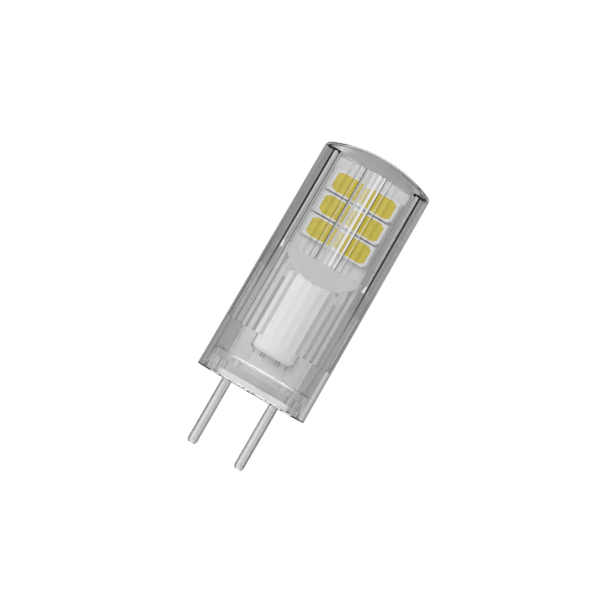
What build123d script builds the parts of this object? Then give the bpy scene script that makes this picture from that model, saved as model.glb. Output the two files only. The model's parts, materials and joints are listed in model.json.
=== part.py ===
from build123d import *
import os
from math import atan, cos, pi, radians, sin, sqrt, tan

# Two-pin LED capsule bulb, GY6.35 base, in millimetres.
# Z runs up the bulb's axis, the pins lie side by side along X and the LED boards face -Y and +Y.
# The origin is the centre of the body's bottom rim, where the body meets the lampholder.

# Clear cover
body_length = 31.8
foot_diameter = 14.4
shoulder_diameter = 14.05
crown_radius = 17.5
crown_corner_cut = 0.4
crown_corner_trim = 0.12
roof_thickness = 1.2
ceiling_radius = 18.5
mouth_diameter = 13.04
mouth_chamfer = 0.15
mouth_depth = 6.65
bore_diameter = 11.9
bore_rib_depth = 0.12
rib_count = 36
lens_clearance = 0.34
lens_block_half_width = 4.44
lens_block_bottom = 17.67
lens_block_slope = 45
lens_rib_depth = 0.248
lens_rib_top_gap = 0.75

# Base plug
plug_thickness = 1.9
plug_fit = 0.05
plug_rim_height = 1.15
plug_rim_thickness = 0.45
plug_rim_bevel = 0.25
plug_recess_depth = 0.9
plug_recess_width = 0.95
plug_recess_length = 2.4
plug_recess_offset = 4.5
post_clearance = 0.32
post_outer = 5.7
post_half_depth = 1.4
post_height = 12.0
post_groove = 0.36
tongue_half_width = 2.2
tongue_thickness = 0.6
tongue_height = 13.1
edge_bevel = 0.14

# White spacer bar let into the plug's underside round the pins
spacer_half_length = 3.55
spacer_width = 2.4
spacer_bottom = 0.25
spacer_top = 0.93
spacer_fit = 0.03

# Contact pins
pin_spacing = 6.35
pin_diameter = 1.25
pin_reach = 8.6
pin_tip_length = 0.35
pin_tip_diameter = 0.85
pin_stem_diameter = 0.8
pin_stem_length = 2.55
pin_fit = 0.02
solder_radius = 0.62
solder_top_radius = 0.52
solder_drop = 0.35
solder_rise = 0.45

# Driver board
driver_board_thickness = 1.0
driver_board_side_fit = 0.06
driver_board_top = 18.95
driver_neck_half_width = 3.6
driver_neck_start = 16.9
board_fit = 0.04
board_window_corner = 0.3

# LED boards and the heat spreader between them
led_board_thickness = 0.8
led_board_half_width = 3.85
led_board_roof_gap = 0.8
led_board_front_bottom = 16.9
led_board_back_bottom = 19.2
spreader_thickness = 2.4
spreader_half_width = 3.6

# LED packages
led_width = 3.5
led_height = 2.8
led_thickness = 0.8
led_pitch_across = 3.6
led_pitch_up = 3.02
led_rows = 3
led_centre_height = 23.8
led_window_width = 2.9
led_window_height = 2.36
led_window_depth = 0.3
led_window_corner = 0.35
led_mark_corner = 0.4
led_pad_thickness = 0.06
led_pad_width = 1.0
led_pad_height = 2.1
led_pad_margin = 0.1
phosphor_dip = 0.03

# Smoothing capacitor
capacitor_diameter = 5.5
capacitor_bottom = 4.9
capacitor_length = 10.2
capacitor_edge = 0.35
capacitor_sleeve_thickness = 0.1
capacitor_bung_thickness = 0.5
capacitor_lead_diameter = 0.5
capacitor_lead_spacing = 2.0
capacitor_lead_length = 0.6
capacitor_clearance = 0.12
lead_fit = 0.03

# Driver parts on the back of the board
bridge_width = 3.3
bridge_height = 2.7
bridge_thickness = 1.4
chip_width = 1.6
chip_height = 2.9
chip_thickness = 1.1
coil_width = 1.2
coil_height = 2.0
coil_thickness = 1.2
coil_corner = 0.2
coil_pad_inset = 0.12
coil_pad_margin = 0.04
coil_pad_height = 0.56
driver_row_height = 17.15
bridge_offset = -1.95
coil_offset = 0.42
chip_offset = 2.3
moulding_bevel = 0.15
chip_leg_width = 0.4
chip_leg_pitch = 0.95
chip_leg_height = 0.38
bridge_leg_width = 0.6
bridge_leg_pitch = 1.85
bridge_leg_height = 0.56
leg_thickness = 0.15
leg_reach = 0.45
leg_bend_start = 0.2
leg_bend_end = 0.27
leg_bend_shift = 0.1
chip_standoff = 0.08
resistor_length = 1.6
resistor_width = 0.8
resistor_thickness = 0.45
resistor_cap_length = 0.3
side_part_margin = 0.33
side_part_pitch = 3.3
side_part_bottom = 6.6

# Values that follow from the sizes above
foot_radius = foot_diameter / 2
shoulder_radius = shoulder_diameter / 2
mouth_radius = mouth_diameter / 2
bore_radius = bore_diameter / 2
ceiling_height = body_length - roof_thickness
crown_centre = body_length - crown_radius
ceiling_centre = ceiling_height - ceiling_radius
shoulder_height = crown_centre + sqrt(crown_radius**2 - shoulder_radius**2)
pin_radius = pin_diameter / 2
stem_radius = pin_stem_diameter / 2
board_bottom = pin_stem_length
driver_face = driver_board_thickness / 2
led_board_face = spreader_thickness / 2 + led_board_thickness
led_face = led_board_face + led_pad_thickness
lens_face = led_face + led_thickness + lens_clearance
capacitor_radius = capacitor_diameter / 2
capacitor_top = capacitor_bottom + capacitor_length
capacitor_window = capacitor_radius + capacitor_clearance
side_part_offset = capacitor_window + side_part_margin + resistor_width / 2
post_inner = side_part_offset + resistor_width / 2 + post_clearance
driver_board_half_width = post_inner + post_groove - driver_board_side_fit

os.makedirs("parts", exist_ok=True)
parts = {}


def block(x_range, y_range, z_range):
    """A box given by its lowest and highest coordinate on each axis."""
    size = [high - low for low, high in (x_range, y_range, z_range)]
    centre = [(high + low) / 2 for low, high in (x_range, y_range, z_range)]
    return Pos(*centre) * Box(*size)


def rod(radius, low, high, x=0.0, y=0.0):
    """An upright cylinder between two heights."""
    return Pos(x, y, (low + high) / 2) * Cylinder(radius, high - low)


def facing(solid, side):
    """Turns a shape made for the front, -Y, to the back when the side is +1."""
    return Rot(0, 0, 180) * solid if side > 0 else solid


def bore_section():
    """The bore's ribbed outline: a ridge line of points that alternate between crest and valley."""
    points = []
    for index in range(2 * rib_count):
        turn = radians(index * 180 / rib_count)
        radius = bore_radius + bore_rib_depth * (1 - index % 2)
        points.append((radius * sin(turn), -radius * cos(turn)))
    return make_face(Polyline(*points, close=True))


def lens_rib_section():
    """The V grooves in a lens block's inner face, each on a radial line, as an outline facing -Y."""
    half_step = 180 / rib_count
    last = int((atan(lens_block_half_width / lens_face) * 180 / pi) / (2 * half_step)) * 2 - 1
    points = []
    for index in range(-last, last + 1):
        x = lens_face * tan(radians(index * half_step))
        points.append((x, -lens_face - lens_rib_depth * (1 - abs(index) % 2)))
    far = lens_face * tan(radians(last * half_step))
    points += [(far, 0), (-far, 0)]
    return make_face(Polyline(*points, close=True))


def vault(radius, centre):
    """The space below the crown's or the ceiling's arch, which runs along Y, down past the foot."""
    arch = Pos(0, 0, centre) * Rot(90, 0, 0) * Cylinder(radius, 2 * foot_diameter)
    return arch + block((-radius, radius), (-foot_diameter, foot_diameter), (-body_length, centre))


def make_lens_block(turn):
    """The thick clear block before one LED board, flat inside and with a sloping underside."""
    drop = foot_radius * tan(radians(lens_block_slope))
    outline = make_face(
        Polyline(
            (-lens_face, lens_block_bottom),
            (-lens_face - foot_radius, lens_block_bottom - drop),
            (-lens_face - foot_radius, body_length + 1),
            (-lens_face, body_length + 1),
            close=True,
        )
    )
    lens_block = extrude(Plane.YZ * outline, lens_block_half_width, both=True)
    grooves = extrude(lens_rib_section(), body_length)
    grooves &= vault(ceiling_radius - lens_rib_top_gap, ceiling_centre)
    return Rot(0, 0, turn) * (lens_block - grooves)


def make_cover():
    """The moulded clear cover: drafted outside, arched crown, ribbed bore and two lens blocks."""
    reach = body_length + 2
    top_radius = foot_radius - (foot_radius - shoulder_radius) * reach / shoulder_height
    shell = Pos(0, 0, reach / 2) * Cone(foot_radius, top_radius, reach)
    shell &= vault(crown_radius, crown_centre)
    for cut in (crown_corner_cut, crown_corner_trim):
        rims = shell.edges().filter_by(lambda edge: edge.bounding_box().min.Z > shoulder_height - 1)
        shell = chamfer(rims, cut)
    shell -= rod(mouth_radius, -1, mouth_depth)
    lip = Cone(mouth_radius + mouth_chamfer, mouth_radius, mouth_chamfer)
    shell -= Pos(0, 0, mouth_chamfer / 2) * lip
    bore = extrude(Pos(0, 0, mouth_depth) * bore_section(), body_length)
    bore &= vault(ceiling_radius, ceiling_centre)
    for turn in (0, 180):
        bore -= make_lens_block(turn)
    return shell - bore


def make_plug():
    """The clear disc that closes the cover, with its rim, its two posts and its two tongues."""
    outer = mouth_radius - plug_fit
    plug = rod(outer, 0, plug_thickness + plug_rim_height)
    circles = plug.edges().filter_by(GeomType.CIRCLE)
    plug = chamfer(circles, mouth_chamfer)
    inner = outer - plug_rim_thickness
    top = plug_thickness + plug_rim_height
    plug -= rod(inner, plug_thickness, top + 1)
    bevel = Cone(inner, inner + plug_rim_bevel, plug_rim_bevel)
    plug -= Pos(0, 0, top - plug_rim_bevel / 2) * bevel
    plug -= block(
        (-spacer_half_length - spacer_fit, spacer_half_length + spacer_fit),
        (-spacer_width / 2 - spacer_fit, spacer_width / 2 + spacer_fit),
        (-1, spacer_top),
    )
    for side in (-1, 1):
        plug -= rod(stem_radius + pin_fit, 0, plug_thickness + 1, side * pin_spacing / 2)
        recess = block(
            (-plug_recess_width / 2, plug_recess_width / 2),
            (-plug_recess_length / 2, plug_recess_length / 2),
            (-1, plug_recess_depth),
        )
        plug -= Pos(side * plug_recess_offset, 0, 0) * recess
        plug += make_post(side) + make_tongue(side)
    return plug


def make_post(side):
    """An upright post of the base plug, grooved for one edge of the driver board."""
    top = plug_thickness + post_height
    post = block((post_inner, post_outer), (-post_half_depth, post_half_depth), (plug_thickness, top))
    post = chamfer(post.edges().filter_by(Axis.Z), edge_bevel)
    groove = driver_face + board_fit
    post -= block(
        (0, post_inner + post_groove),
        (-groove, groove),
        (plug_thickness + board_fit, top + 1),
    )
    return Rot(0, 0, 180) * post if side < 0 else post


def make_tongue(side):
    """An upright tongue of the base plug, which steadies the capacitor from the front or the back."""
    tongue = block(
        (-tongue_half_width, tongue_half_width),
        (capacitor_window, capacitor_window + tongue_thickness),
        (plug_thickness, plug_thickness + tongue_height),
    )
    tongue = chamfer(tongue.edges().filter_by(Axis.Z), edge_bevel)
    return Rot(0, 0, 180) * tongue if side < 0 else tongue


def make_spacer():
    """The white bar that keeps the two pins at their spacing."""
    bar = block(
        (-spacer_half_length, spacer_half_length),
        (-spacer_width / 2, spacer_width / 2),
        (spacer_bottom, spacer_top),
    )
    for side in (-1, 1):
        bar -= rod(stem_radius + pin_fit, 0, spacer_top + 1, side * pin_spacing / 2)
    return bar


def make_pin(side):
    """A straight contact pin with a blunt tapered tip, and a thinner stem through the plug."""
    shank = rod(pin_radius, -pin_reach + pin_tip_length, 0)
    tip = Cone(pin_tip_diameter / 2, pin_radius, pin_tip_length)
    tip = Pos(0, 0, -pin_reach + pin_tip_length / 2) * tip
    pin = shank + tip + rod(stem_radius, 0, pin_stem_length)
    return Pos(side * pin_spacing / 2, 0, 0) * pin


def make_driver_board():
    """The driver board, with a window for the capacitor and a narrow neck below the LED boards."""
    board = block(
        (-driver_board_half_width, driver_board_half_width),
        (-driver_face, driver_face),
        (board_bottom, driver_neck_start),
    )
    board += block(
        (-driver_neck_half_width, driver_neck_half_width),
        (-driver_face, driver_face),
        (driver_neck_start, driver_board_top),
    )
    window = block(
        (-capacitor_window, capacitor_window),
        (-driver_board_thickness, driver_board_thickness),
        (capacitor_bottom - capacitor_clearance, capacitor_top + capacitor_clearance),
    )
    board -= fillet(window.edges().filter_by(Axis.Y), board_window_corner)
    for side in (-1, 1):
        lead_x = side * capacitor_lead_spacing / 2
        half = capacitor_lead_diameter / 2 + lead_fit
        board -= block(
            (lead_x - half, lead_x + half),
            (-driver_board_thickness, driver_board_thickness),
            (capacitor_bottom - capacitor_lead_length - lead_fit, capacitor_bottom),
        )
    return board


def arched_plate(half_width, y_range, bottom):
    """An upright plate whose top edge follows the ceiling's arch."""
    blank = block((-half_width, half_width), y_range, (bottom, body_length))
    return blank & vault(ceiling_radius - led_board_roof_gap, ceiling_centre)


def make_led_board(bottom):
    """One white LED board, facing -Y."""
    return arched_plate(led_board_half_width, (-led_board_face, -spreader_thickness / 2), bottom)


def make_spreader():
    """The aluminium plate between the two LED boards, seated on the driver board's top edge."""
    half = spreader_thickness / 2
    return arched_plate(spreader_half_width, (-half, half), driver_board_top)


def chamfered_plate(width, height, corner, low, high):
    """A plate facing -Y between two depths, with its four upright corners cut off."""
    plate = block((-width / 2, width / 2), (-high, -low), (-height / 2, height / 2))
    return chamfer(plate.edges().filter_by(Axis.Y), corner)


def make_led_housing():
    """One white LED package with its window and its cut polarity corner."""
    front = led_face + led_thickness
    housing = block(
        (-led_width / 2, led_width / 2),
        (-front, -led_face),
        (-led_height / 2, led_height / 2),
    )
    mark = housing.edges().filter_by(Axis.Y).sort_by(lambda edge: edge.center().X - edge.center().Z)[-1]
    housing = chamfer(mark, led_mark_corner)
    window = chamfered_plate(
        led_window_width,
        led_window_height,
        led_window_corner,
        front - led_window_depth,
        front + 1,
    )
    return housing - window


def make_phosphor():
    """The yellow phosphor fill of one LED window, a little below the rim."""
    front = led_face + led_thickness
    return chamfered_plate(
        led_window_width,
        led_window_height,
        led_window_corner,
        front - led_window_depth,
        front - phosphor_dip,
    )


def led_places():
    """Name and place of each LED on one face: left or right column, rows from the top."""
    places = []
    for row in range(led_rows):
        height = led_centre_height + ((led_rows - 1) / 2 - row) * led_pitch_up
        for column, across in (("left", -led_pitch_across / 2), ("right", led_pitch_across / 2)):
            places.append((f"{column}_{row + 1}", across, height))
    return places


def make_led_pads():
    """The solder pads under the six LED packages of one face."""
    pads = []
    pad_centre = (led_width - led_pad_width) / 2 - led_pad_margin
    for name, across, height in led_places():
        for end in (-1, 1):
            x = across + end * pad_centre
            pads.append(
                block(
                    (x - led_pad_width / 2, x + led_pad_width / 2),
                    (-led_face, -led_board_face),
                    (height - led_pad_height / 2, height + led_pad_height / 2),
                )
            )
    return Compound(children=pads)


def make_capacitor_can():
    """The capacitor's aluminium can."""
    radius = capacitor_radius - capacitor_sleeve_thickness
    top = capacitor_top - capacitor_sleeve_thickness
    can = rod(radius, capacitor_bottom + capacitor_bung_thickness, top)
    rim = can.edges().filter_by(GeomType.CIRCLE).sort_by(Axis.Z)[-1]
    return chamfer(rim, capacitor_edge - capacitor_sleeve_thickness)


def make_capacitor_sleeve():
    """The white shrink sleeve, turned in over both ends of the can."""
    sleeve = rod(capacitor_radius, capacitor_bottom, capacitor_top)
    sleeve = chamfer(sleeve.edges().filter_by(GeomType.CIRCLE), capacitor_edge)
    top_hole = capacitor_radius - 2 * capacitor_edge
    bottom_hole = capacitor_radius - capacitor_edge
    sleeve -= rod(top_hole, capacitor_top - capacitor_edge, capacitor_top + 1)
    sleeve -= rod(bottom_hole, capacitor_bottom - 1, capacitor_bottom + capacitor_bung_thickness)
    return sleeve - make_capacitor_can()


def make_capacitor_bung():
    """The rubber bung that closes the can round its two leads."""
    low = capacitor_bottom + capacitor_sleeve_thickness
    high = capacitor_bottom + capacitor_bung_thickness
    bung = rod(capacitor_radius - capacitor_edge - pin_fit, low, high)
    for side in (-1, 1):
        hole = capacitor_lead_diameter / 2 + pin_fit
        bung -= rod(hole, low - 1, high + 1, side * capacitor_lead_spacing / 2)
    return bung


def make_capacitor_leads():
    """The capacitor's two tinned leads, let into the board's edge."""
    low = capacitor_bottom - capacitor_lead_length
    high = capacitor_bottom + capacitor_bung_thickness
    leads = [
        rod(capacitor_lead_diameter / 2, low, high, side * capacitor_lead_spacing / 2)
        for side in (-1, 1)
    ]
    return Compound(children=leads)


def moulded_body(width, height, thickness, x, z):
    """A moulded chip body on the back of the board, with drafted edges."""
    low = driver_face + chip_standoff
    body = block(
        (x - width / 2, x + width / 2),
        (low, low + thickness),
        (z - height / 2, z + height / 2),
    )
    back = body.faces().sort_by(Axis.Y)[-1]
    return chamfer(back.edges(), moulding_bevel)


def gull_leg(width, body_side, x, direction_z, body_edge):
    """One bent leg that leaves a chip body and turns down on to the board."""
    rise = driver_face + body_side
    outline = make_face(
        Polyline(
            (rise, 0),
            (rise, leg_bend_start),
            (driver_face, leg_bend_end),
            (driver_face, leg_reach),
            (driver_face + leg_thickness, leg_reach),
            (driver_face + leg_thickness, leg_bend_end + leg_bend_shift),
            (rise + leg_thickness, leg_bend_start + leg_bend_shift),
            (rise + leg_thickness, 0),
            close=True,
        )
    )
    leg = extrude(Plane.YZ * outline, width / 2, both=True)
    if direction_z < 0:
        leg = leg.mirror(Plane.XY)
    return Pos(x, 0, body_edge) * leg


def make_bridge_legs():
    """The bridge rectifier's four legs, two above and two below."""
    legs = []
    for direction in (-1, 1):
        edge = driver_row_height + direction * bridge_height / 2
        for step in (-1, 1):
            x = bridge_offset + step * bridge_leg_pitch / 2
            legs.append(gull_leg(bridge_leg_width, bridge_leg_height, x, direction, edge))
    return Compound(children=legs)


def make_chip_legs():
    """The driver chip's legs, three on the left and two on the right."""
    legs = []
    for direction, rows in ((-1, (-1, 0, 1)), (1, (-1, 1))):
        for row in rows:
            leg = gull_leg(chip_leg_width, chip_leg_height, 0, 1, 0)
            leg = Rot(0, direction * 90, 0) * leg
            edge = chip_offset + direction * chip_width / 2
            legs.append(Pos(edge, 0, driver_row_height + row * chip_leg_pitch) * leg)
    return Compound(children=legs)


def make_coil():
    """The moulded inductor, seated on its two end pads."""
    low = driver_face + led_pad_thickness
    body = block(
        (coil_offset - coil_width / 2, coil_offset + coil_width / 2),
        (low, low + coil_thickness),
        (driver_row_height - coil_height / 2, driver_row_height + coil_height / 2),
    )
    return chamfer(body.edges().filter_by(Axis.Y), coil_corner)


def make_coil_pads():
    """The inductor's two terminals."""
    pads = []
    half_width = coil_width / 2 - coil_pad_inset
    for step in (-1, 1):
        edge = driver_row_height + step * (coil_height / 2 - coil_pad_margin)
        ends = sorted((edge, edge - step * coil_pad_height))
        pads.append(
            block(
                (coil_offset - half_width, coil_offset + half_width),
                (driver_face, driver_face + led_pad_thickness),
                ends,
            )
        )
    return Compound(children=pads)


def side_part_places():
    """Places of the small two-ended parts beside the capacitor, as row, X and height."""
    places = []
    for side in (-1, 1):
        for row in range(3):
            height = side_part_bottom + row * side_part_pitch
            places.append((row, side * side_part_offset, height))
    return places


def make_side_part_bodies(rows):
    """The bodies of the two-ended parts in the rows listed."""
    half = resistor_length / 2 - resistor_cap_length
    bodies = []
    for row, x, z in side_part_places():
        if row in rows:
            bodies.append(
                block(
                    (x - resistor_width / 2, x + resistor_width / 2),
                    (driver_face, driver_face + resistor_thickness),
                    (z - half, z + half),
                )
            )
    return Compound(children=bodies)


def make_side_part_caps():
    """The metal end caps of the two-ended parts."""
    caps = []
    half = resistor_length / 2
    for _, x, z in side_part_places():
        for step in (-1, 1):
            ends = sorted((z + step * half, z + step * (half - resistor_cap_length)))
            caps.append(
                block(
                    (x - resistor_width / 2, x + resistor_width / 2),
                    (driver_face, driver_face + resistor_thickness),
                    ends,
                )
            )
    return Compound(children=caps)


def make_solder(side):
    """The solder joint round a pin's stem, drawn up both faces of the board."""
    x = side * pin_spacing / 2
    low = board_bottom - solder_drop
    joint = rod(solder_radius, low, board_bottom, x)
    cap = Cone(solder_radius, solder_top_radius, solder_rise)
    joint += Pos(x, 0, board_bottom + solder_rise / 2) * cap
    joint -= rod(stem_radius, 0, board_bottom, x)
    joint -= block(
        (-driver_board_half_width, driver_board_half_width),
        (-driver_face, driver_face),
        (board_bottom, board_bottom + 2 * solder_rise),
    )
    return joint


parts["cover"] = make_cover()
parts["base_plug"] = make_plug()
parts["pin_spacer"] = make_spacer()
parts["pin_left"] = make_pin(-1)
parts["pin_right"] = make_pin(1)
parts["driver_board"] = make_driver_board()
parts["heat_spreader"] = make_spreader()
parts["led_board_front"] = make_led_board(led_board_front_bottom)
parts["led_board_back"] = facing(make_led_board(led_board_back_bottom), 1)
for face_name, face_side in (("front", -1), ("back", 1)):
    parts[f"led_pads_{face_name}"] = facing(make_led_pads(), face_side)
    for led_name, led_across, led_up in led_places():
        place = Pos(led_across, 0, led_up)
        parts[f"led_{face_name}_{led_name}"] = facing(place * make_led_housing(), face_side)
        parts[f"phosphor_{face_name}_{led_name}"] = facing(place * make_phosphor(), face_side)
parts["capacitor_can"] = make_capacitor_can()
parts["capacitor_sleeve"] = make_capacitor_sleeve()
parts["capacitor_bung"] = make_capacitor_bung()
parts["capacitor_leads"] = make_capacitor_leads()
parts["bridge_rectifier"] = moulded_body(
    bridge_width, bridge_height, bridge_thickness, bridge_offset, driver_row_height
)
parts["bridge_legs"] = make_bridge_legs()
parts["driver_chip"] = moulded_body(
    chip_width, chip_height, chip_thickness, chip_offset, driver_row_height
)
parts["driver_chip_legs"] = make_chip_legs()
parts["inductor"] = make_coil()
parts["inductor_terminals"] = make_coil_pads()
parts["resistors"] = make_side_part_bodies((1, 2))
parts["ceramic_capacitors"] = make_side_part_bodies((0,))
parts["end_caps"] = make_side_part_caps()
parts["pin_solder_left"] = make_solder(-1)
parts["pin_solder_right"] = make_solder(1)

for node, shape in parts.items():
    export_step(shape, f"parts/{node}.step")
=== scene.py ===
import json
import math

import bmesh
import bpy
from mathutils import Matrix, Vector


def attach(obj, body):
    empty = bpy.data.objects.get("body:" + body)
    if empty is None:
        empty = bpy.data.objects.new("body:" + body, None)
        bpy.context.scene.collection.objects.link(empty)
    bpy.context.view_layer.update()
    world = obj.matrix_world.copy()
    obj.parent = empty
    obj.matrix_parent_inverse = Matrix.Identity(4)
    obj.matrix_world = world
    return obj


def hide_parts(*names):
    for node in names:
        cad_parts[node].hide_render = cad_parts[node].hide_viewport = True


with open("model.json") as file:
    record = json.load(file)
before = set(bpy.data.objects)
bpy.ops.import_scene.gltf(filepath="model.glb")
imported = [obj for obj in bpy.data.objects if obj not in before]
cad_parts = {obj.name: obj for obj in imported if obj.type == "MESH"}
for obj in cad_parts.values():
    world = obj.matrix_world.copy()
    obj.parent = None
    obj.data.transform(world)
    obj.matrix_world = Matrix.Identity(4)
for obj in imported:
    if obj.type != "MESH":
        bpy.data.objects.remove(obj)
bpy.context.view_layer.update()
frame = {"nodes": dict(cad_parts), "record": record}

MM = 0.001
nodes = frame["nodes"]

# The photograph's framing: a long lens, level with the lamp and rolled, with the lamp's scale in pixels.
IMAGE_SIZE = 600
PIXELS_PER_MM = 8.45
AIM_PIXEL = (312.6, 285.3)
AIM_HEIGHT = 14.7
CAMERA_ROLL = 30.0
CAMERA_DISTANCE = 1.2
CAMERA_CLIP = (0.01, 10.0)
SENSOR_WIDTH = 36.0

# Grey and black cards stand round the lamp, as a photographer sets them to draw the edges of clear things.
# Each stop gives the share of the white background that is seen past them, by degrees from straight behind
# the lamp towards its right side.
CARDS = (
    (-180, 0.8),
    (-152, 0.8),
    (-138, 1.0),
    (-120, 1.0),
    (-104, 0.9),
    (-97, 0.02),
    (-80, 0.05),
    (-58, 0.5),
    (-45, 0.1),
    (-36, 0.45),
    (-25, 0.28),
    (22, 0.36),
    (34, 0.7),
    (46, 0.34),
    (66, 0.36),
    (74, 0.02),
    (98, 0.02),
    (116, 0.9),
    (135, 0.8),
    (148, 0.4),
    (165, 0.55),
    (180, 0.8),
)
CARD_OVERHEAD = 0.52
CARD_BELOW = 1.0
# The cards round the lamp give way to the ones above and below it between these heights of a direction.
CAP_START = 0.6
CAP_END = 0.85

# How brightly the world lights dull surfaces, and the two soft lamps that add some shape.
LIGHT_LEVEL = 1.25
LAMP_SIZE = 0.4
LAMP_TARGET = (0, 0, 0.012)
KEY_WATTS = 2.4
KEY_PLACE = (-0.6, -0.6, 0.35)
FILL_WATTS = 0.8
FILL_PLACE = (0.5, -0.8, 0.15)

FLOOR_HALF_SIZE = 2.0
FLOOR_HEIGHT = -0.06

# Sizes of the clear parts in millimetres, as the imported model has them.
FOOT_RADIUS = 7.2
SHOULDER_RADIUS = 7.025
BODY_LENGTH = 31.8
CROWN_RADIUS = 17.5
CROWN_CORNER = 0.6
CEILING_HEIGHT = 30.6
CEILING_RADIUS = 18.5
PIN_X = 3.175
STEM_HOLE_RADIUS = 0.42

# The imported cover's outside is every face whose middle lies this near to the foot, this far from the axis or
# this far above the ceiling, in millimetres.
FOOT_MARGIN = 0.001
WALL_MIDDLE = 6.9
ROOF_MARGIN = 0.3

# How finely the new outside is divided, and the angle from which an edge stays sharp.
OUTSIDE_COLUMNS = 240
CORNER_STEPS = 12
CROWN_STEPS = 24
CORNER_PASSES = 30
SHARP_DEGREES = 9
JOIN_DISTANCE = 1e-7

CLEAR_IOR = 1.5
CLEAR_COLOUR = (0.99, 0.99, 0.99, 1)
CLEAR_ROUGHNESS = 0.003
CLEAR_NOISE_SCALE = 900
COLOUR_NOISE_SCALE = 1500
GRAIN_NOISE_SCALE = 6000
GRAIN_STRENGTH = 0.05
GRAIN_DEPTH = 0.00001

# Dull surfaces: the two colours that each varies between, its roughness and how metallic it is.
SURFACES = {
    "pin_metal": ((0.8, 0.8, 0.8), (0.88, 0.88, 0.88), 0.42, 1.0),
    "board_white": ((0.67, 0.67, 0.67), (0.71, 0.71, 0.71), 0.45, 0.0),
    "spreader_aluminium": ((0.6, 0.61, 0.62), (0.68, 0.69, 0.7), 0.4, 1.0),
    "spacer_white": ((0.9, 0.9, 0.9), (0.93, 0.93, 0.93), 0.4, 0.0),
    "solder": ((0.55, 0.56, 0.57), (0.68, 0.69, 0.7), 0.3, 1.0),
    "led_housing": ((0.76, 0.76, 0.78), (0.8, 0.8, 0.82), 0.4, 0.0),
    "phosphor": ((0.6, 0.48, 0.004), (0.67, 0.55, 0.012), 0.5, 0.0),
    "capacitor_aluminium": ((0.7, 0.7, 0.7), (0.78, 0.78, 0.78), 0.35, 1.0),
    "capacitor_sleeve": ((0.88, 0.88, 0.88), (0.92, 0.92, 0.92), 0.25, 0.0),
    "black_rubber": ((0.02, 0.02, 0.02), (0.03, 0.03, 0.03), 0.6, 0.0),
    "tinned_metal": ((0.6, 0.6, 0.6), (0.7, 0.7, 0.7), 0.3, 1.0),
    "chip_black": ((0.015, 0.015, 0.016), (0.03, 0.03, 0.032), 0.5, 0.0),
    "inductor_grey": ((0.05, 0.05, 0.052), (0.08, 0.08, 0.082), 0.55, 0.0),
    "resistor_black": ((0.02, 0.02, 0.022), (0.03, 0.03, 0.03), 0.3, 0.0),
    "ceramic_tan": ((0.3, 0.2, 0.11), (0.36, 0.25, 0.15), 0.45, 0.0),
}


def new_material(name):
    """An empty node material with its output and its principled shader."""
    material = bpy.data.materials.new(name)
    material.use_nodes = True
    tree = material.node_tree
    tree.nodes.clear()
    output = tree.nodes.new("ShaderNodeOutputMaterial")
    shader = tree.nodes.new("ShaderNodeBsdfPrincipled")
    tree.links.new(shader.outputs["BSDF"], output.inputs["Surface"])
    return material, tree, shader, output


def noise(tree, scale, detail, stretch=(1, 1, 1)):
    """The value of a noise texture in object coordinates, stretched along the axes."""
    coords = tree.nodes.new("ShaderNodeTexCoord")
    mapping = tree.nodes.new("ShaderNodeMapping")
    mapping.inputs["Scale"].default_value = stretch
    texture = tree.nodes.new("ShaderNodeTexNoise")
    texture.inputs["Scale"].default_value = scale
    texture.inputs["Detail"].default_value = detail
    tree.links.new(coords.outputs["Object"], mapping.inputs["Vector"])
    tree.links.new(mapping.outputs["Vector"], texture.inputs["Vector"])
    return texture.outputs["Fac"]


def clear_plastic(name, clearness):
    """Clear moulded plastic: it refracts, and lets the lamps' light through to what is inside."""
    material, tree, shader, output = new_material(name)
    shader.inputs["Base Color"].default_value = CLEAR_COLOUR
    shader.inputs["Transmission Weight"].default_value = clearness
    shader.inputs["IOR"].default_value = CLEAR_IOR
    roughness = tree.nodes.new("ShaderNodeMapRange")
    roughness.inputs["To Max"].default_value = CLEAR_ROUGHNESS
    tree.links.new(noise(tree, CLEAR_NOISE_SCALE, 2.0, (1, 1, 0.2)), roughness.inputs["Value"])
    tree.links.new(roughness.outputs["Result"], shader.inputs["Roughness"])
    path = tree.nodes.new("ShaderNodeLightPath")
    through = tree.nodes.new("ShaderNodeBsdfTransparent")
    through.inputs["Color"].default_value = (1, 1, 1, 1)
    mix = tree.nodes.new("ShaderNodeMixShader")
    tree.links.new(path.outputs["Is Shadow Ray"], mix.inputs["Fac"])
    tree.links.new(shader.outputs["BSDF"], mix.inputs[1])
    tree.links.new(through.outputs["BSDF"], mix.inputs[2])
    tree.links.new(mix.outputs["Shader"], output.inputs["Surface"])
    return material


def dull_surface(name, low, high, roughness, metallic):
    """A surface whose colour varies softly between two values, with a fine grain in its bump."""
    material, tree, shader, _ = new_material(name)
    colours = tree.nodes.new("ShaderNodeValToRGB")
    for stop, position, colour in zip(colours.color_ramp.elements, (0.3, 0.7), (low, high)):
        stop.position = position
        stop.color = (*colour, 1)
    tree.links.new(noise(tree, COLOUR_NOISE_SCALE, 3.0), colours.inputs["Fac"])
    tree.links.new(colours.outputs["Color"], shader.inputs["Base Color"])
    shader.inputs["Roughness"].default_value = roughness
    shader.inputs["Metallic"].default_value = metallic
    grain = tree.nodes.new("ShaderNodeBump")
    grain.inputs["Strength"].default_value = GRAIN_STRENGTH
    grain.inputs["Distance"].default_value = GRAIN_DEPTH
    tree.links.new(noise(tree, GRAIN_NOISE_SCALE, 2.0), grain.inputs["Height"])
    tree.links.new(grain.outputs["Normal"], shader.inputs["Normal"])
    return material


MATERIALS = {name: dull_surface(name, *values) for name, values in SURFACES.items()}
MATERIALS["clear_cover"] = clear_plastic("clear_cover", 1.0)
MATERIALS["clear_inner"] = clear_plastic("clear_inner", 0.95)


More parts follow.
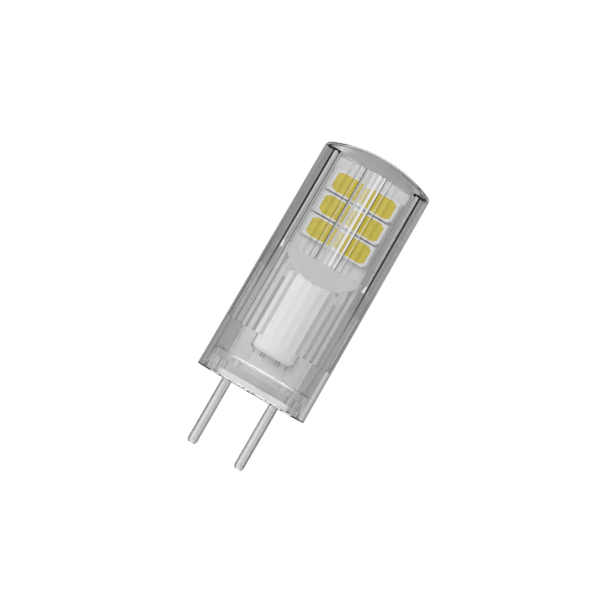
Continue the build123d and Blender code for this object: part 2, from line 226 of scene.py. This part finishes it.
def dress_cad_nodes():
    """Gives every carried-over CAD node its material."""
    slots = {part["node"]: part["material_slot"] for part in frame["record"]["subparts"]}
    for name, obj in nodes.items():
        material = MATERIALS[slots[name]]
        if not obj.material_slots:
            obj.data.materials.append(material)
        for holder in obj.material_slots:
            holder.material = material


def node_mesh(name):
    """A copy of a CAD node's mesh with its shared corners joined."""
    mesh = bmesh.new()
    mesh.from_mesh(nodes[name].data)
    bmesh.ops.remove_doubles(mesh, verts=mesh.verts, dist=JOIN_DISTANCE)
    return mesh


def open_edges(mesh):
    """The edges that only one face has."""
    return [edge for edge in mesh.edges if len(edge.link_faces) == 1]


def place_piece(mesh, name, slot):
    """Puts a mesh in place of a CAD node, shaded smoothly and with its edges kept sharp."""
    for face in mesh.faces:
        face.smooth = True
    for edge in mesh.edges:
        edge.smooth = len(edge.link_faces) == 2 and edge.calc_face_angle() < math.radians(SHARP_DEGREES)
    data = bpy.data.meshes.new(name + "_clear")
    mesh.to_mesh(data)
    mesh.free()
    data.materials.append(MATERIALS[slot])
    piece = bpy.data.objects.new(name + "_clear", data)
    bpy.context.scene.collection.objects.link(piece)
    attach(piece, "root")
    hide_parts(name)


def vault_height(x, radius, apex):
    """Height of a lying arch along Y at an X."""
    return apex - radius + math.sqrt(radius**2 - x**2)


def outside_stations(angle):
    """Radius and height of the cover's outside at one angle, from the foot to near the crown's middle."""
    slope = math.atan((FOOT_RADIUS - SHOULDER_RADIUS) / vault_height(SHOULDER_RADIUS, CROWN_RADIUS, BODY_LENGTH))
    across = math.cos(angle)
    centre_r = SHOULDER_RADIUS - CROWN_CORNER
    touch = SHOULDER_RADIUS
    for _ in range(CORNER_PASSES):
        x = touch * across
        lean = math.atan(x * across / math.sqrt(CROWN_RADIUS**2 - x**2))
        touch = centre_r + CROWN_CORNER * math.sin(lean)
        centre_z = vault_height(touch * across, CROWN_RADIUS, BODY_LENGTH) - CROWN_CORNER * math.cos(lean)
        centre_r = FOOT_RADIUS - centre_z * math.tan(slope) - CROWN_CORNER / math.cos(slope)
    stations = [(FOOT_RADIUS, 0.0)]
    for i in range(CORNER_STEPS + 1):
        turn = slope + (math.pi / 2 - lean - slope) * i / CORNER_STEPS
        stations.append((centre_r + CROWN_CORNER * math.cos(turn), centre_z + CROWN_CORNER * math.sin(turn)))
    for i in range(1, CROWN_STEPS):
        radius = touch * (1 - i / CROWN_STEPS)
        stations.append((radius, vault_height(radius * across, CROWN_RADIUS, BODY_LENGTH)))
    return stations


def add_outside(mesh):
    """The drafted outside and the arched crown as rows of quads."""
    columns = []
    for i in range(OUTSIDE_COLUMNS):
        angle = 2 * math.pi * i / OUTSIDE_COLUMNS
        columns.append([
            mesh.verts.new((r * math.cos(angle) * MM, r * math.sin(angle) * MM, z * MM))
            for r, z in outside_stations(angle)
        ])
    middle = mesh.verts.new((0, 0, BODY_LENGTH * MM))
    for here, after in zip(columns, columns[1:] + columns[:1]):
        for low in range(len(here) - 1):
            mesh.faces.new((here[low], after[low], after[low + 1], here[low + 1]))
        mesh.faces.new((here[-1], after[-1], middle))


def make_cover():
    """The clear cover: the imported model's inside, an outside with a rounded crown corner, and a flat foot."""
    mesh = node_mesh("cover")
    outside = []
    for face in mesh.faces:
        x, y, z = (c / MM for c in face.calc_center_median())
        in_roof = z > vault_height(x, CEILING_RADIUS, CEILING_HEIGHT) + ROOF_MARGIN
        if z < FOOT_MARGIN or math.hypot(x, y) > WALL_MIDDLE or in_roof:
            outside.append(face)
    bmesh.ops.delete(mesh, geom=outside, context="FACES")
    add_outside(mesh)
    bmesh.ops.triangle_fill(mesh, use_beauty=True, edges=open_edges(mesh), normal=(0, 0, -1))
    place_piece(mesh, "cover", "clear_cover")


def make_plug():
    """The clear base plug, moulded round the pins' stems with no room between."""
    mesh = node_mesh("base_plug")
    walls = []
    for face in mesh.faces:
        x, y, _ = (c / MM for c in face.calc_center_median())
        upright = abs(face.normal.z) < 0.5
        if upright and math.hypot(abs(x) - PIN_X, y) < STEM_HOLE_RADIUS:
            walls.append(face)
    bmesh.ops.delete(mesh, geom=walls, context="FACES")
    bmesh.ops.holes_fill(mesh, edges=open_edges(mesh), sides=0)
    place_piece(mesh, "base_plug", "clear_inner")


def make_floor():
    """A plain pale floor below the lamp."""
    size = FLOOR_HALF_SIZE
    mesh = bpy.data.meshes.new("floor")
    mesh.from_pydata([(-size, -size, 0), (size, -size, 0), (size, size, 0), (-size, size, 0)], [], [(0, 1, 2, 3)])
    floor = bpy.data.objects.new("floor", mesh)
    floor.location.z = FLOOR_HEIGHT
    bpy.context.scene.collection.objects.link(floor)
    material, _, shader, _ = new_material("floor_pale")
    shader.inputs["Roughness"].default_value = 0.9
    shader.inputs["Base Color"].default_value = (0.98, 0.98, 0.98, 1)
    mesh.materials.append(material)
    floor.visible_glossy = False
    floor.visible_transmission = False


def mix_colours(tree, share, first, second):
    """A mix of two colours, each an output or a grey level: the first at a share of 0, the second at 1."""
    node = tree.nodes.new("ShaderNodeMix")
    node.data_type = "RGBA"
    factor, first_input, second_input = node.inputs[0], node.inputs[6], node.inputs[7]
    tree.links.new(share, factor)
    for socket, colour in ((first_input, first), (second_input, second)):
        if isinstance(colour, float):
            socket.default_value = (colour, colour, colour, 1)
        else:
            tree.links.new(colour, socket)
    return node.outputs[2]


def cards_pattern(tree):
    """What clear parts and metal see in each direction: the white background past the cards."""
    coords = tree.nodes.new("ShaderNodeTexCoord")
    parts = tree.nodes.new("ShaderNodeSeparateXYZ")
    tree.links.new(coords.outputs["Generated"], parts.inputs["Vector"])
    turn = tree.nodes.new("ShaderNodeMath")
    turn.operation = "ARCTAN2"
    tree.links.new(parts.outputs["X"], turn.inputs[0])
    tree.links.new(parts.outputs["Y"], turn.inputs[1])
    share = tree.nodes.new("ShaderNodeMath")
    share.operation = "MULTIPLY_ADD"
    share.inputs[1].default_value = 0.5 / math.pi
    share.inputs[2].default_value = 0.5
    tree.links.new(turn.outputs["Value"], share.inputs[0])
    bands = tree.nodes.new("ShaderNodeValToRGB")
    stops = bands.color_ramp.elements
    for degrees, _ in CARDS[1:-1]:
        stops.new(degrees / 360 + 0.5)
    for stop, (_, level) in zip(stops, CARDS):
        stop.color = (level, level, level, 1)
    tree.links.new(share.outputs["Value"], bands.inputs["Fac"])
    pattern = bands.outputs["Color"]
    for side, level in ((1, CARD_OVERHEAD), (-1, CARD_BELOW)):
        height = tree.nodes.new("ShaderNodeMapRange")
        height.inputs["From Min"].default_value = side * CAP_START
        height.inputs["From Max"].default_value = side * CAP_END
        tree.links.new(parts.outputs["Z"], height.inputs["Value"])
        pattern = mix_colours(tree, height.outputs["Result"], pattern, level)
    return pattern


def make_world():
    """Plain white light and a white background, which clear parts and metal show with the cards before it."""
    world = bpy.data.worlds.new("studio")
    bpy.context.scene.world = world
    world.use_nodes = True
    tree = world.node_tree
    tree.nodes.clear()
    output = tree.nodes.new("ShaderNodeOutputWorld")
    shader = tree.nodes.new("ShaderNodeBackground")
    shader.inputs["Strength"].default_value = 1.0
    path = tree.nodes.new("ShaderNodeLightPath")
    seen = tree.nodes.new("ShaderNodeMath")
    seen.operation = "MAXIMUM"
    tree.links.new(path.outputs["Is Glossy Ray"], seen.inputs[0])
    tree.links.new(path.outputs["Is Transmission Ray"], seen.inputs[1])
    shown = mix_colours(tree, seen.outputs["Value"], LIGHT_LEVEL, cards_pattern(tree))
    white = mix_colours(tree, path.outputs["Is Camera Ray"], shown, 1.0)
    tree.links.new(white, shader.inputs["Color"])
    tree.links.new(shader.outputs["Background"], output.inputs["Surface"])


def make_lamp(name, watts, place):
    """A soft square lamp that faces the middle of the object."""
    data = bpy.data.lights.new(name, "AREA")
    data.size = LAMP_SIZE
    data.energy = watts
    lamp = bpy.data.objects.new(name, data)
    lamp.location = place
    lamp.rotation_mode = "QUATERNION"
    lamp.rotation_quaternion = (Vector(place) - Vector(LAMP_TARGET)).to_track_quat("Z", "Y")
    lamp.visible_glossy = False
    lamp.visible_transmission = False
    bpy.context.scene.collection.objects.link(lamp)


def make_camera():
    """The photograph's camera: level, far away, and rolled so that the lamp leans to the right."""
    data = bpy.data.cameras.new("camera")
    data.sensor_width = SENSOR_WIDTH
    data.lens = SENSOR_WIDTH * CAMERA_DISTANCE / (IMAGE_SIZE / PIXELS_PER_MM * MM)
    data.clip_start, data.clip_end = CAMERA_CLIP
    data.shift_x = (IMAGE_SIZE / 2 - AIM_PIXEL[0]) / IMAGE_SIZE
    data.shift_y = (AIM_PIXEL[1] - IMAGE_SIZE / 2) / IMAGE_SIZE
    camera = bpy.data.objects.new("camera", data)
    place = Matrix.Translation((0, -CAMERA_DISTANCE, AIM_HEIGHT * MM))
    level = Matrix.Rotation(math.radians(90), 4, "X")
    roll = Matrix.Rotation(math.radians(CAMERA_ROLL), 4, "Z")
    camera.matrix_world = place @ level @ roll
    bpy.context.scene.collection.objects.link(camera)
    bpy.context.scene.camera = camera


dress_cad_nodes()
make_cover()
make_plug()
make_floor()
make_world()
make_lamp("key", KEY_WATTS, KEY_PLACE)
make_lamp("fill", FILL_WATTS, FILL_PLACE)
make_camera()

bpy.context.scene.view_settings.view_transform = "Standard"
